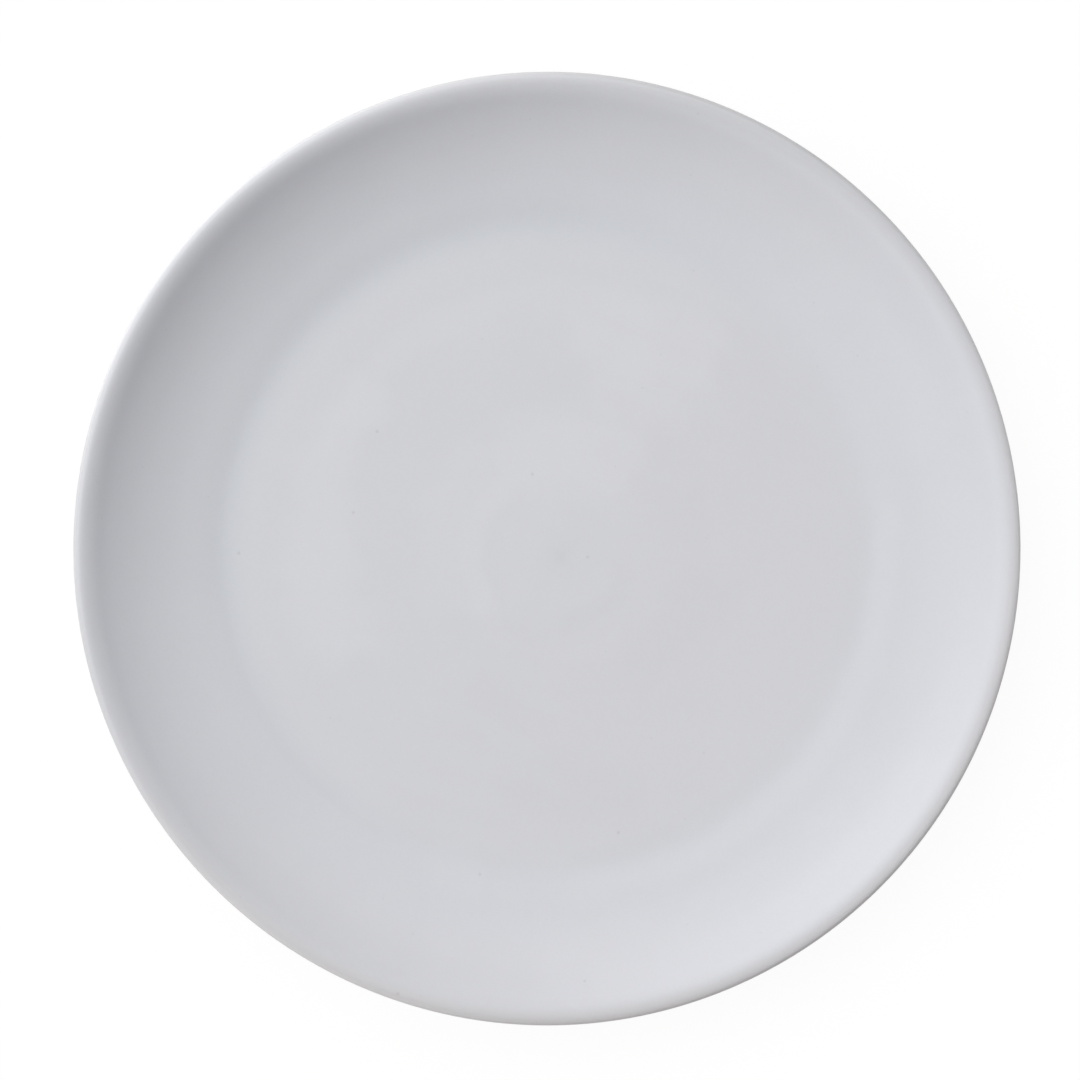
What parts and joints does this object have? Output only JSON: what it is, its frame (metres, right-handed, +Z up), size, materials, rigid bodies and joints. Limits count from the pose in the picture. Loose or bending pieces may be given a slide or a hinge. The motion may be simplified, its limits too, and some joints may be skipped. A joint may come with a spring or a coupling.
{
  "type": "pizza plate",
  "caption": "Round rimless plate in matte white glazed stoneware: a flat floor, a low flaring wall with a soft rolled lip, and a bare clay foot ring. Serves a whole pizza.",
  "frame": {"origin": "middle of the foot ring's standing face, on the surface that the plate stands on", "axes": "+Z up along the plate's axis of turning; the plate is round, so +X and +Y are any two level directions"},
  "size_m": [0.31, 0.31, 0.0278],
  "materials": {
    "stoneware": "matte",
    "white_glaze": "matte"
  },
  "bodies": {
    "root": {"stoneware_body": "stoneware", "glaze_coat": "white_glaze", "recess_glaze": "white_glaze"}
  },
  "joints": []
}
